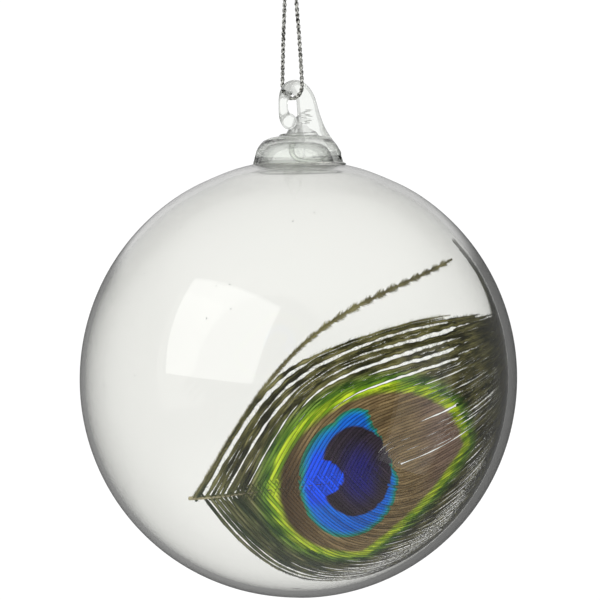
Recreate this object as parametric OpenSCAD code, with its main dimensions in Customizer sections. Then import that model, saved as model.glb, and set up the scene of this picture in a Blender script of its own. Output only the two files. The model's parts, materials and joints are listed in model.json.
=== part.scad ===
/* [Glass ball] */
// Outside diameter of the ball
ball_d = 80; // [76:1:84]
// Thickness of the blown wall
wall = 1.2; // [0.8:0.1:1.6]
// Diameter of the opening that the cap closes
mouth_d = 14.8; // [13:0.2:15]

/* [Hanger] */
// Width of the cap across its lip
cap_d = 16.8; // [16.6:0.2:19]
// Width of the cap across its shoulder
shoulder_d = 14; // [13:0.2:15]
// Height of the cap above its lip
cap_h = 5.4; // [5:0.1:6]
// Thickness of the glue film under the cap
glue = 0.2; // [0.1:0.05:0.3]
// Diameter of the eye that the thread runs through
eye_d = 3.3; // [3.2:0.1:3.6]
// Diameter of the drawn rod that forms the eye
rod_d = 2.4; // [2.2:0.1:2.6]
// How far the eye is turned away from the front, in degrees
eye_turn = 48; // [0:1:90]

/* [Feather] */
// Thickness of the pressed vane
vane = 0.3; // [0.2:0.05:0.4]
// Air between the vane and the inside of the glass
vane_gap = 0.4; // [0.3:0.05:0.6]

/* [Thread] */
// Diameter of the two-ply metallic thread
thread_d = 0.78; // [0.6:0.02:0.9]
// Distance from the hanging point down to the middle of the ball
drop = 90; // [90:1:100]
// Length of the two cut tails above the knot
tail_l = 8; // [5:0.5:12]

/* [Hidden] */

round_fn = 96;
tiny = 0.01;
ball_r = ball_d / 2;
inner_r = ball_r - wall;

// The cap sits a little to one side of the ball's axis, as it does where it is set by hand.
cap_shift = 0.9;
plug_r = mouth_d / 2 - 0.2;
plug_depth = 1.8;
lip_z = sqrt(pow(ball_r + glue, 2) - pow(cap_d / 2, 2)) - 0.1;
shoulder_round = 1.7;
pocket_r = 3;
pocket_shift = 2;
pocket_top = 4.6;

// The eye stands on the cap, with its hole on the plumb line of the thread.
eye_z = lip_z + cap_h + 5.4;
rod_r = rod_d / 2;
ring_r = eye_d / 2 + rod_r;
leg_top = [3.75, 0.6];
leg_top_r = 1.9;
leg_foot = [5, -6.6];
leg_foot_r = 3;
tail_bead = [-1.1, -2.95];
tail_bead_r = 1.5;
root_top = [1.4, -3.6];
root_top_r = 1.9;
root_foot = [2.2, -6.6];
root_foot_r = 3.2;

// The feather lies on a sphere inside the wall. Its chart measures millimetres over that
// sphere from the middle of the eye: first along the shaft, then across it.
vane_r = inner_r - vane_gap - vane / 2;
eye_azimuth = 16;
eye_height = -26.5;
shaft_lean = 12;
shaft_line = -2;
shaft_bend_s = -12;
shaft_dip = 4.6;
shaft_ends = [-32, 8];
shaft_r_root = 0.5;
shaft_r_tip = 0.2;
seam = 0.25;

// Each barb leaves the shaft at its root and settles at its own distance from the shaft's line.
// Past the eye it turns back towards that line.
barb_reach = 0.66;
upper_back = 0.2;
lower_back = 0.45;
stray_back = 0.03;
turn_back_s = 45;
upper_root = -30;
lower_root = -28.5;
upper_outer = 24;
lower_outer = -33;
stray_root = -31;
stray_outer = 31;
stray_end = 38;
stray_half = 0.45;
eye_mid = [5, -4];
eye_half = [21, 18.5];
body_end = 30;
tip_end = 66;
least_width = 0.8;

// The hanging thread as one line from the knot through the eye and back: first its distance from
// the plumb line, along the eye's axis, then its height. The origin is under the knot.
route_low = -30;
bearing = 0.07;
thread_low = eye_z - drop + (eye_d - thread_d) / 2 - bearing;
thread_route = [[-0.5, 0], [-0.6, -3], [-0.7, -7], [-0.9, -12], [-1.2, -17], [-1.5, -22],
    [-1.9, -27], [-2.2, -32], [-2.4, -36.4], [-2.2, -37.4], [-1.7, -38.1], [-0.9, -38.6], [0, -38.8],
    [0.9, -38.6], [1.7, -38.1], [2.2, -37.4], [2.4, -36.4], [2.2, -32], [1.9, -27], [1.5, -22],
    [1.2, -17], [0.9, -12], [0.7, -7], [0.6, -3], [0.5, 0]];
thread_sides = 8;
knot_gap = 0.35;
knot_r = 1.5;
knot_h = 3;
tail_routes = [
    [[-0.5, 0, 0], [-0.7, 0.1, 0.25], [-1.2, 0.2, 0.5], [-1.9, 0, 0.75], [-2.6, -0.3, 1]],
    [[0.5, 0, 0], [0.6, -0.2, 0.25], [0.9, -0.5, 0.45], [1.4, -0.5, 0.65], [1.6, -0.3, 0.85]]];

glass_tint = [0.86, 0.9, 0.87, 0.35];
cap_tint = [0.84, 0.88, 0.86, 0.6];

// ---- Curves and sweeps ----

// A point on a smooth curve through four neighbours, between the second and the third.
function between(a, b, c, d, u) = 0.5 * (2 * b + (c - a) * u + (2 * a - 5 * b + 4 * c - d) * u * u
    + (3 * b - a - 3 * c + d) * u * u * u);

function smooth(points, steps) = let (n = len(points))
    [for (i = [0 : n - 2], k = [0 : steps - 1])
        between(points[max(i - 1, 0)], points[i], points[i + 1], points[min(i + 2, n - 1)], k / steps),
    points[n - 1]];

function unit(v) = v / norm(v);

function heading(path, i) = unit(path[min(i + 1, len(path) - 1)] - path[max(i - 1, 0)]);

// Rings of points round a path that is already in space; side is any direction off the path.
function rings(path, radii, side, sides) =
    [for (i = [0 : len(path) - 1]) let (h = heading(path, i), a = unit(cross(h, side)), b = cross(h, a))
        for (k = [0 : sides - 1]) let (turn = 360 * k / sides)
            path[i] + radii[i] * (cos(turn) * a + sin(turn) * b)];

module sweep(path, radii, side, sides) {
    n = len(path);
    walls = [for (i = [0 : n - 2], k = [0 : sides - 1]) let (m = (k + 1) % sides)
        each [[i * sides + k, i * sides + m, (i + 1) * sides + k],
            [i * sides + m, (i + 1) * sides + m, (i + 1) * sides + k]]];
    start = [for (k = [sides - 1 : -1 : 0]) k];
    finish = [for (k = [0 : sides - 1]) (n - 1) * sides + k];
    polyhedron(rings(path, radii, side, sides), concat(walls, [start, finish]));
}

// ---- The sphere that the feather is pressed against ----

eye_out = [sin(eye_azimuth) * cos(eye_height), -cos(eye_azimuth) * cos(eye_height), sin(eye_height)];
level = [cos(eye_azimuth), sin(eye_azimuth), 0];
upward = cross(eye_out, level);
along = cos(shaft_lean) * level + sin(shaft_lean) * upward;
across = cos(shaft_lean) * upward - sin(shaft_lean) * level;

function on_sphere(p, r) = let (far = max(norm(p), tiny), lean = far / vane_r * 180 / PI)
    [0, 0, -drop] + r * (cos(lean) * eye_out + sin(lean) * (p[0] * along + p[1] * across) / far);

// The shaft runs straight under the eye and dips towards its cut end.
function shaft_t(s) = shaft_line - shaft_dip * pow(max(shaft_bend_s - s, 0) / 20, 1.5);

// Where a barb that leaves the shaft at root and settles at outer has got to.
function barb_t(s, root, outer, turn_back) =
    let (start = shaft_t(root), reach = outer - start,
        e = exp(-2 * max(s - root, 0) / (barb_reach * abs(reach))),
        back = turn_back * pow(max(s, 0) / turn_back_s, 2))
    (start + reach * (1 - e) / (1 + e)) * (1 - back);

function upper_t(s) = barb_t(s, upper_root, upper_outer, upper_back);
function lower_t(s) = barb_t(s, lower_root, lower_outer, lower_back);

function quad(a, b, c, d) = [[a, b, c], [b, d, c]];

// A closed patch on the sphere between two edges, each a list of chart points of one length.
module patch(low, high, rows) {
    n = len(low);
    function id(i, j, side) = side * n * (rows + 1) + i * (rows + 1) + j;
    points = [for (side = [0, 1], i = [0 : n - 1], j = [0 : rows])
        on_sphere(low[i] + (high[i] - low[i]) * j / rows, vane_r + (side - 0.5) * vane)];
    back = [for (i = [0 : n - 2], j = [0 : rows - 1])
        each quad(id(i, j, 0), id(i + 1, j, 0), id(i, j + 1, 0), id(i + 1, j + 1, 0))];
    front = [for (i = [0 : n - 2], j = [0 : rows - 1])
        each quad(id(i, j, 1), id(i, j + 1, 1), id(i + 1, j, 1), id(i + 1, j + 1, 1))];
    low_edge = [for (i = [0 : n - 2])
        each quad(id(i, 0, 0), id(i, 0, 1), id(i + 1, 0, 0), id(i + 1, 0, 1))];
    high_edge = [for (i = [0 : n - 2])
        each quad(id(i, rows, 0), id(i + 1, rows, 0), id(i, rows, 1), id(i + 1, rows, 1))];
    start = [for (j = [0 : rows - 1])
        each quad(id(0, j, 0), id(0, j + 1, 0), id(0, j, 1), id(0, j + 1, 1))];
    finish = [for (j = [0 : rows - 1])
        each quad(id(n - 1, j, 0), id(n - 1, j, 1), id(n - 1, j + 1, 0), id(n - 1, j + 1, 1))];
    polyhedron(points, concat(back, front, low_edge, high_edge, start, finish));
}

// ---- Glass ----

module at_ball() {
    translate([0, 0, -drop]) children();
}

module at_cap() {
    translate([cap_shift, 0, lip_z - drop]) children();
}

module glass_ball() {
    color(glass_tint) at_ball() difference() {
        sphere(r = ball_r, $fn = round_fn);
        sphere(r = inner_r, $fn = round_fn);
        translate([cap_shift, 0, ball_r / 2]) cylinder(d = mouth_d, h = ball_r, $fn = round_fn);
    }
}

// The cap's outer form: a low bell with a rounded shoulder, which runs on down as a plug.
module cap_form() {
    rotate_extrude($fn = round_fn) intersection() {
        union() {
            polygon([[0, -1], [cap_d / 2, -1], [cap_d / 2, 0], [shoulder_d / 2, cap_h - shoulder_round],
                [shoulder_d / 2 - shoulder_round, cap_h], [0, cap_h]]);
            translate([shoulder_d / 2 - shoulder_round, cap_h - shoulder_round])
                circle(r = shoulder_round, $fn = round_fn);
        }
        translate([0, -2]) square([cap_d, cap_h + 4]);
    }
}

module hanger_cap() {
    color(cap_tint) difference() {
        union() {
            difference() {
                at_cap() cap_form();
                at_ball() sphere(r = ball_r + glue, $fn = round_fn);
            }
            translate([cap_shift, 0, lip_z - drop - plug_depth])
                cylinder(r = plug_r, h = plug_depth + 2, $fn = round_fn);
        }
        translate([pocket_shift, 0, lip_z - drop - plug_depth - tiny])
            cylinder(r = pocket_r, h = plug_depth + pocket_top, $fn = round_fn);
    }
}

module cap_adhesive() {
    color([0.9, 0.9, 0.86, 0.7]) difference() {
        intersection() {
            at_ball() sphere(r = ball_r + glue, $fn = round_fn);
            translate([cap_shift, 0, lip_z - drop - plug_depth + 0.6])
                cylinder(r = cap_d / 2 - 0.3, h = 4, $fn = round_fn);
        }
        translate([cap_shift, 0, lip_z - drop - plug_depth])
            cylinder(r = plug_r, h = 2 * plug_depth, $fn = round_fn);
        at_ball() difference() {
            sphere(r = ball_r, $fn = round_fn);
            translate([cap_shift, 0, ball_r / 2]) cylinder(d = mouth_d, h = ball_r, $fn = round_fn);
        }
    }
}

// A tapered stretch of glass rod with round ends, in the plane of the eye.
module rod(a, b, ra, rb) {
    span = b - a;
    translate([a[0], 0, a[1]]) {
        sphere(r = ra, $fn = 48);
        rotate([0, atan2(span[0], span[1]), 0]) cylinder(r1 = ra, r2 = rb, h = norm(span), $fn = 48);
    }
    translate([b[0], 0, b[1]]) sphere(r = rb, $fn = 48);
}

module hanger_hook() {
    color(cap_tint) difference() {
        translate([0, 0, eye_z - drop]) rotate([0, 0, eye_turn]) {
            rotate([90, 0, 0]) rotate_extrude($fn = round_fn)
                translate([ring_r, 0]) circle(r = rod_r, $fn = 48);
            rod(leg_foot, leg_top, leg_foot_r, leg_top_r);
            rod(root_foot, root_top, root_foot_r, root_top_r);
            translate([tail_bead[0], 0, tail_bead[1]]) sphere(r = tail_bead_r, $fn = 48);
        }
        at_cap() cap_form();
        translate([0, 0, lip_z - drop - cap_d]) cylinder(r = cap_d, h = cap_d, $fn = round_fn);
    }
}

// ---- Feather ----

module feather_shaft() {
    steps = 24;
    line = [for (i = [0 : steps]) let (s = shaft_ends[0] + (shaft_ends[1] - shaft_ends[0]) * i / steps)
        on_sphere([s, shaft_t(s)], vane_r - vane / 2 - shaft_r_root - tiny)];
    radii = [for (i = [0 : steps]) shaft_r_root + (shaft_r_tip - shaft_r_root) * i / steps];
    color("tan") sweep(line, radii, eye_out, 8);
}

// The eye's oval outline above or below its middle, at a distance s along it.
function eye_t(s, side) = let (x = (s - eye_mid[0]) / eye_half[0])
    eye_mid[1] + side * eye_half[1] * sqrt(max(1 - x * x, 0));

// The oval's edge on one side, or the shaft's line where the oval is narrower or has ended.
function eye_edge(s, side) = side > 0
    ? max(eye_t(s, side), shaft_t(s) + least_width)
    : min(eye_t(s, side), shaft_t(s) - least_width);

eye_steps = 18;
eye_s = [for (i = [0 : eye_steps]) eye_mid[0] - eye_half[0] * cos(8 + 164 * i / eye_steps)];

// Stations along a row of barbs: by the shaft, then beside the eye, then as far as the tips.
function body_s(root) =
    let (first = root + 1.5, before = eye_s[0] - seam, after = eye_s[eye_steps] + seam)
    concat([for (i = [0 : 4]) first + (before - first) * i / 4], eye_s, [after, body_end]);

module eye_upper_vane() {
    low = [for (s = eye_s) [s, shaft_t(s) + seam / 2]];
    color("teal") patch(low, [for (s = eye_s) [s, eye_edge(s, 1)]], 6);
}

module eye_lower_vane() {
    high = [for (s = eye_s) [s, shaft_t(s) - seam / 2]];
    color("royalblue") patch([for (s = eye_s) [s, eye_edge(s, -1)]], high, 6);
}

// The inner edge of a row of barbs: along the eye where there is one, and by the shaft elsewhere.
function inner_edge(s, side) = s < eye_s[0] || s > eye_s[eye_steps]
    ? shaft_t(s) + side * seam / 2
    : eye_edge(s, side) + side * seam;

module upper_barbs() {
    high = [for (s = body_s(upper_root)) [s, upper_t(s)]];
    low = [for (p = high) [p[0], min(inner_edge(p[0], 1), p[1] - least_width)]];
    color("olive") patch(low, high, 5);
}

module lower_barbs() {
    low = [for (s = body_s(lower_root)) [s, lower_t(s)]];
    high = [for (p = low) [p[0], max(inner_edge(p[0], -1), p[1] + least_width)]];
    color("darkolivegreen") patch(low, high, 5);
}

// Past the eye both rows join, turn round the side of the ball and end on its back.
module tip_barbs() {
    steps = 14;
    line = [for (i = [0 : steps]) body_end + seam + (tip_end - body_end) * i / steps];
    color("darkolivegreen") patch([for (s = line) [s, lower_t(s)]], [for (s = line) [s, upper_t(s)]], 8);
}

module stray_barb() {
    steps = 24;
    first = stray_root + 1.5;
    line = [for (i = [0 : steps]) let (s = first + (stray_end - first) * i / steps)
        [s, barb_t(s, stray_root, stray_outer, stray_back)]];
    side = [-stray_half, stray_half];
    color("darkkhaki") patch([for (p = line) p - side], [for (p = line) p + side], 1);
}

// ---- Thread ----

thread_plane = [sin(eye_turn), -cos(eye_turn), 0];
thread_side = [cos(eye_turn), sin(eye_turn), 0];

module hanging_cord() {
    // The lower stretch moves with the eye, whose top the bend bears on.
    lift = thread_low - min([for (p = thread_route) p[1]]);
    route = smooth([for (p = thread_route)
        p[0] * thread_plane + [0, 0, p[1] + (p[1] < route_low ? lift : 0)]], 2);
    color("silver") sweep(route, [for (p = route) thread_d / 2], thread_side, thread_sides);
}

module cord_knot() {
    color("silver") translate([0, 0, knot_gap + knot_h / 2]) rotate_extrude($fn = 48) intersection() {
        union() {
            translate([0.3, -knot_h / 4]) circle(r = knot_r * 0.75, $fn = 32);
            translate([0.3, knot_h / 4]) circle(r = knot_r * 0.75, $fn = 32);
        }
        translate([0, -knot_h / 2]) square([2 * knot_r, knot_h]);
    }
}

module knot_tails() {
    color("silver") for (tail = tail_routes) {
        path = smooth([for (p = tail) p[0] * thread_side + p[1] * thread_plane
            + [0, 0, knot_gap + knot_h + p[2] * tail_l]], 3);
        sweep(path, [for (p = path) thread_d / 2], thread_plane, thread_sides);
    }
}

glass_ball();
cap_adhesive();
hanger_cap();
hanger_hook();
feather_shaft();
eye_upper_vane();
eye_lower_vane();
upper_barbs();
lower_barbs();
tip_barbs();
stray_barb();
hanging_cord();
cord_knot();
knot_tails();
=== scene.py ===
# %% [markdown]
# # A glass ball ornament with a peacock feather
#
# The ornament is a blown ball of clear glass. A low bell of glass closes it, a rod drawn out of the
# bell curls over into an eye, and a loop of twisted silver thread runs through the eye. The eye
# end of a peacock feather lies pressed against the inside of the wall.
#
# The engineering model is loaded first and never changed. Every piece made here takes its size and
# place from it, and all but the thread ride on one of its bodies.

# %% Load the frame
import json
import math

import bpy
import numpy as np
from mathutils import Matrix, Quaternion, Vector


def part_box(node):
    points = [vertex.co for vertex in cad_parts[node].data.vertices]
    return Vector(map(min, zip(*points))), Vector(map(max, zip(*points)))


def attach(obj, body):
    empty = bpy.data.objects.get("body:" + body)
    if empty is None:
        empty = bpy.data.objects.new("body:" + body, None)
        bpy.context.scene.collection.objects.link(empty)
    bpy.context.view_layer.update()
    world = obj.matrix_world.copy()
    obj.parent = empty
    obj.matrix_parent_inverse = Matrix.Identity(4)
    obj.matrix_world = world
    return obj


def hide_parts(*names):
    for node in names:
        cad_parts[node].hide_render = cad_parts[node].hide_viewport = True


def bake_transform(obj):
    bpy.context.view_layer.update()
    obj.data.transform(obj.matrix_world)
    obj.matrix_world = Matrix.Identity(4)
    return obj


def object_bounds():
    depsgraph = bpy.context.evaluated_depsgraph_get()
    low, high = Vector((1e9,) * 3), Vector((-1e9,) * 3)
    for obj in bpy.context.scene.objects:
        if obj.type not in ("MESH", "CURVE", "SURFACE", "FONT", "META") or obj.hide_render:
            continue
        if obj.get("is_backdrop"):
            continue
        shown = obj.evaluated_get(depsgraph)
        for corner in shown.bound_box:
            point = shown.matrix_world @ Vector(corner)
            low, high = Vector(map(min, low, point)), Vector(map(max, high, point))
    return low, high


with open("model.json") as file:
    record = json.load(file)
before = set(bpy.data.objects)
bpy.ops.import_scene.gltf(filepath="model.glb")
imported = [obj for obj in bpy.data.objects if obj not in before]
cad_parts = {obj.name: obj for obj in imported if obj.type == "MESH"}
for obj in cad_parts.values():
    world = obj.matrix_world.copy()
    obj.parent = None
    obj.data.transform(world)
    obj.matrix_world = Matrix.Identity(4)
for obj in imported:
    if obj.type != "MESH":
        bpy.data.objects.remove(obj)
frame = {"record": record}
cad_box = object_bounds()
joints = {joint["name"]: joint for joint in frame["record"]["behaviour"]["joints"]}

# %% [markdown]
# ## Measures from the frame
#
# The ball turns about its own middle when the feather slides round inside it, so that joint's place
# is the ball's middle. The thread's joint gives the direction of the eye's axis. The boxes of the
# solids give the rest. Lengths are in metres, and `MM` keeps small ones readable.

# %% Measures
MM = 0.001
ball_mid = np.array(joints["feather_turn"]["pos_m"], float)
eye_axis = np.array(joints["swing"]["axis"], float)
eye_side = np.array([-eye_axis[1], eye_axis[0], 0.0])
UP = np.array([0.0, 0.0, 1.0])

ball_low, ball_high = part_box("glass_ball")
ball_r = (ball_high.x - ball_low.x) / 2
cap_low, cap_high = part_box("hanger_cap")
cap_mid = np.array([(cap_low.x + cap_high.x) / 2, 0.0, 0.0])
cap_r = (cap_high.x - cap_low.x) / 2
plug_low = cap_low.z
print("ball radius mm", round(ball_r / MM, 2), "cap radius mm", round(cap_r / MM, 2))

# %% [markdown]
# ## The camera
#
# A long lens from the front shows the ball almost without perspective. The camera is level and turned
# a little about its own line of sight, so the thread leans to the left as it goes up. Its three axes
# are written straight into a matrix: to the right, upward, and backward, away from the ball.

# %% Camera
CAMERA_AWAY = 0.9
VIEW_WIDTH = 109.65 * MM
SENSOR = 36.0
ROLL = math.radians(1.25)
aim = ball_mid + np.array([0.55, 0.0, 14.34]) * MM

camera_data = bpy.data.cameras.new("front_camera")
camera_data.sensor_width = SENSOR
camera_data.lens = SENSOR * CAMERA_AWAY / VIEW_WIDTH
camera_data.clip_start = 0.05
camera_data.clip_end = 50.0
camera = bpy.data.objects.new("front_camera", camera_data)
to_right = Vector((math.cos(ROLL), 0.0, -math.sin(ROLL)))
upward = Vector((math.sin(ROLL), 0.0, math.cos(ROLL)))
backward = Vector((0.0, -1.0, 0.0))
stance = Vector(aim) + backward * CAMERA_AWAY
turn = Matrix((to_right, upward, backward)).transposed().to_4x4()
camera.matrix_world = Matrix.Translation(stance) @ turn
bpy.context.scene.collection.objects.link(camera)
bpy.context.scene.camera = camera
bpy.context.scene.view_settings.view_transform = "Standard"
print("lens mm", round(camera_data.lens, 1))

# %% [markdown]
# ## Lines, tubes and pieces
#
# Thread, rod and feather shaft are all tubes along a line. A line is given by a few points and
# smoothed by a curve that passes through them. Two directions across the line are carried along it
# without twisting, and rings of points round the line are joined into a tube. `make_piece` turns
# points and faces into an object that rides on a body.

# %% Helpers for lines and pieces


def smooth_line(points, steps):
    points = np.array(points, float)
    line = []
    for i in range(len(points) - 1):
        a = points[max(i - 1, 0)]
        b = points[i]
        c = points[i + 1]
        d = points[min(i + 2, len(points) - 1)]
        for u in np.arange(steps) / steps:
            bend = (2 * a - 5 * b + 4 * c - d) * u * u + (3 * b - a - 3 * c + d) * u ** 3
            line.append(0.5 * (2 * b + (c - a) * u + bend))
    line.append(points[-1])
    return np.array(line)


def unit(v):
    return v / np.maximum(np.linalg.norm(v, axis=-1, keepdims=True), 1e-12)


def arc(line):
    steps = np.linalg.norm(np.diff(line, axis=0), axis=1)
    return np.concatenate([[0.0], np.cumsum(steps)])


def values_at(at, along, values):
    return np.stack([np.interp(at, along, column) for column in values.T], axis=1)


def even_line(line, spacing):
    along = arc(line)
    count = max(int(round(along[-1] / spacing)), 2)
    return values_at(np.linspace(0, along[-1], count + 1), along, line)


def across_line(line, first):
    heading = unit(np.gradient(line, axis=0))
    one = np.zeros_like(line)
    carried = np.array(first, float)
    for i, h in enumerate(heading):
        carried = unit(carried - h * np.dot(carried, h))
        one[i] = carried
    return one, np.cross(heading, one)


def tube(line, radii, sides, first=(0, 0, 1)):
    n = len(line)
    one, two = across_line(line, first)
    angle = np.linspace(0, 2 * math.pi, sides, endpoint=False)
    ring = np.cos(angle)[None, :, None] * one[:, None] + np.sin(angle)[None, :, None] * two[:, None]
    points = line[:, None] + ring * np.broadcast_to(radii, (n,))[:, None, None]
    faces = grid_faces(n, sides, wrap=True)
    faces.append(list(range(sides))[::-1])
    faces.append([(n - 1) * sides + k for k in range(sides)])
    return points.reshape(-1, 3), faces


def grid_faces(rows, columns, wrap=False):
    last = columns if wrap else columns - 1
    i, j = np.meshgrid(np.arange(rows - 1), np.arange(last), indexing="ij")
    k = (j + 1) % columns
    this_row = i * columns
    next_row = this_row + columns
    quads = np.stack([this_row + j, this_row + k, next_row + k, next_row + j], axis=-1)
    return quads.reshape(-1, 4).tolist()


def join(parts):
    points = []
    faces = []
    count = 0
    for part_points, part_faces in parts:
        points.append(part_points)
        faces += [[v + count for v in face] for face in part_faces]
        count += len(part_points)
    return np.concatenate(points), faces


def make_mesh(name, points, faces):
    mesh = bpy.data.meshes.new(name)
    mesh.from_pydata(np.asarray(points).tolist(), [], faces)
    mesh.polygons.foreach_set("use_smooth", [True] * len(mesh.polygons))
    mesh.update()
    piece = bpy.data.objects.new(name, mesh)
    bpy.context.scene.collection.objects.link(piece)
    return piece


def make_piece(name, points, faces, slot, nodes, body=None):
    piece = make_mesh(name, points, faces)
    if body:
        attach(piece, body)
    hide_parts(*nodes)
    print(name, "faces", len(faces))
    return piece


# %% [markdown]
# ## The silver thread
#
# The thread is two plies of metallic yarn, twisted together. One line runs from inside the knot, down,
# round under the top of the glass eye and back up, in the plane that the eye's axis and the plumb line
# make. Each ply is a thin ribbed tube whose centre circles that line, which gives the beaded outline
# that a plain tube lacks.

# %% Thread
THREAD_D = 0.78 * MM
PLY_R = 0.205 * MM
PLY_REACH = 0.185 * MM
PLY_PITCH = 2.1 * MM
RIB_DEPTH = 0.12
RIBS_IN_TURN = 9
IN_KNOT = 0.7 * MM
# Half of the loop in mm: distance from the plumb line, and height above the knot's lower end.
half_route = ((0.5, 0.0), (0.6, -3.0), (0.7, -7.0), (0.9, -12.0), (1.2, -17.0), (1.5, -22.0),
              (1.9, -27.0), (2.2, -32.0), (2.4, -36.4), (2.2, -37.4), (1.7, -38.1), (0.9, -38.6),
              (0.0, -38.8))
thread_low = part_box("hanging_cord")[0].z + THREAD_D / 2
bend_lift = thread_low - half_route[-1][1] * MM
LIFT_FROM = -30.0


def route_point(sign, off, height):
    lift = bend_lift if height < LIFT_FROM else 0.0
    return eye_axis * sign * off * MM + UP * (height * MM + lift)


down = [route_point(-1, off, height) for off, height in half_route]
back_up = [route_point(1, off, height) for off, height in half_route[-2::-1]]
start_in_knot = route_point(-1, 0.4, 0.0) + UP * IN_KNOT
end_in_knot = route_point(1, 0.4, 0.0) + UP * IN_KNOT
thread_stations = [start_in_knot] + down + back_up + [end_in_knot]
thread_line = even_line(smooth_line(thread_stations, 12), 0.15 * MM)
thread_length = arc(thread_line)[-1]


def plies(line, first):
    one, two = across_line(line, first)
    phase = arc(line) / PLY_PITCH * 2 * math.pi
    parts = []
    for turn_start in (0.0, math.pi):
        angle = phase + turn_start
        offset = one * np.cos(angle)[:, None] + two * np.sin(angle)[:, None]
        rib = 1 + RIB_DEPTH * np.sin(phase * RIBS_IN_TURN + turn_start)
        parts.append(tube(line + offset * PLY_REACH, PLY_R * rib, 8, first))
    return parts


thread = make_piece("silver_thread", *join(plies(thread_line, eye_side)), "silver_thread",
                    ["hanging_cord"])
print("thread length mm", round(thread_length / MM, 1))

# %% [markdown]
# ## The knot and its tails
#
# Both ends of the thread are tied together in one overhand knot, and two short tails stand out above
# it with their filaments fraying. An overhand knot's line is a trefoil, which three sine waves give.
# The two ends lie side by side through it, so the line is drawn twice, a little apart.

# %% Knot and tails
knot_low, knot_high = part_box("cord_knot")
knot_mid = np.array([0.0, 0.0, (knot_low.z + knot_high.z) / 2])
knot_r = (knot_high.x - knot_low.x) / 2
KNOT_RISE = 0.55 * MM
APART = 0.36 * MM
turns = np.linspace(0, 2 * math.pi, 180)
trefoil = np.stack([np.sin(turns) + 2 * np.sin(2 * turns),
                    np.cos(turns) - 2 * np.cos(2 * turns)], axis=1)
knot_parts = []
for shift in (-APART, APART):
    flat = trefoil / 3 * (knot_r - THREAD_D * 0.5)
    knot_rise = np.sin(3 * turns) * KNOT_RISE + shift
    knot_line = np.stack([flat[:, 0], flat[:, 1], knot_rise], axis=1) + knot_mid
    knot_parts += plies(knot_line, (0, 0, 1))
thread_knot = make_piece("thread_knot", *join(knot_parts), "silver_thread", ["cord_knot"], "knot")

HAIRS = 14
HAIR_R = 0.03 * MM
tails_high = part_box("knot_tails")[1].z
fray_random = np.random.default_rng(3)
tail_parts = []
for lean in (-1, 1):
    steps = np.linspace(0, 1, 40)
    bow = eye_side * lean * (0.4 + 1.6 * steps ** 1.4)[:, None]
    bow = bow + eye_axis * 0.5 * np.sin(steps * 4)[:, None]
    height = knot_mid[2] + (tails_high - knot_mid[2]) * (0.06 + (0.8 + 0.1 * lean) * steps)
    tail_line = bow * MM + UP * height[:, None]
    tail_parts += plies(tail_line, (0, 1, 0))
    tip = tail_line[-1]
    for _ in range(HAIRS):
        spread = unit(fray_random.normal(size=3) + UP * 2.2) * fray_random.uniform(0.5, 1.3) * MM
        hair = np.stack([tip + (spread + UP * 0.1 * MM) * u + eye_side * 0.1 * MM * u * u
                         for u in (0, 0.5, 1)])
        tail_parts.append(tube(hair, HAIR_R, 4, (0.1, 1, 0)))
thread_tails = make_piece("thread_tails", *join(tail_parts), "silver_thread", ["knot_tails"], "knot")

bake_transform(thread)

# %% [markdown]
# ## Writing finishes as sums
#
# A finish is a network of nodes. `Value` wraps one output socket, so that ordinary Python sums on it
# add Math nodes. `Finish.node` makes any other node from its type, its settings and the values or
# links of its inputs. Colours are mixed by a Mix node, because a Math node would turn them grey.

# %% Helpers for finishes


class Value:
    """One output of a node, on which Python's own operators work."""

    def __init__(self, finish, socket):
        self.finish = finish
        self.socket = socket

    def out(self, name):
        return Value(self.finish, self.socket.node.outputs[name])

    def maths(self, operation, *terms):
        return self.finish.node("ShaderNodeMath", {"operation": operation}, dict(enumerate(terms)))

    def __add__(self, other):
        return self.maths("ADD", self, other)

    __radd__ = __add__

    def __sub__(self, other):
        return self.maths("SUBTRACT", self, other)

    def __rsub__(self, other):
        return self.maths("SUBTRACT", other, self)

    def __mul__(self, other):
        return self.maths("MULTIPLY", self, other)

    __rmul__ = __mul__

    def __truediv__(self, other):
        return self.maths("DIVIDE", self, other)

    def __pow__(self, power):
        return self.maths("POWER", self, power)

    def root(self):
        return self.maths("SQRT", self)

    def size(self):
        return self.maths("ABSOLUTE", self)

    def least(self, other):
        return self.maths("MINIMUM", self, other)

    def most(self, other):
        return self.maths("MAXIMUM", self, other)

    def rise(self, low, high):
        """0 below low, 1 above high, smooth between; low may be the greater one."""
        between = {"Value": self, "From Min": min(low, high), "From Max": max(low, high)}
        ramp = self.finish.node("ShaderNodeMapRange", {"interpolation_type": "SMOOTHSTEP"}, between)
        return ramp if low < high else 1 - ramp


class Finish:
    """The node network of a material or of the world."""

    def __init__(self, owner):
        owner.use_nodes = True
        self.owner = owner
        self.tree = owner.node_tree
        self.tree.nodes.clear()

    def node(self, kind, settings=None, inputs=None, output=0):
        made = self.tree.nodes.new(kind)
        for key, setting in (settings or {}).items():
            setattr(made, key, setting)
        for key, value in (inputs or {}).items():
            if isinstance(value, Value):
                self.tree.links.new(value.socket, made.inputs[key])
            else:
                made.inputs[key].default_value = value
        return Value(self, made.outputs[output]) if len(made.outputs) else None

    def place(self):
        return self.node("ShaderNodeTexCoord").out("Object")

    def mix(self, factor, a, b):
        return self.node("ShaderNodeMix", {"data_type": "RGBA"}, {0: factor, 6: a, 7: b}, 2)

    def noise(self, scale, vector, detail=3.0):
        return self.node("ShaderNodeTexNoise", {}, {"Scale": scale, "Detail": detail, "Vector": vector})

    def bump(self, height, distance):
        return self.node("ShaderNodeBump", {}, {"Height": height, "Distance": distance})

    def surface(self, shader):
        self.node("ShaderNodeOutputMaterial", {}, {"Surface": shader})


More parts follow.
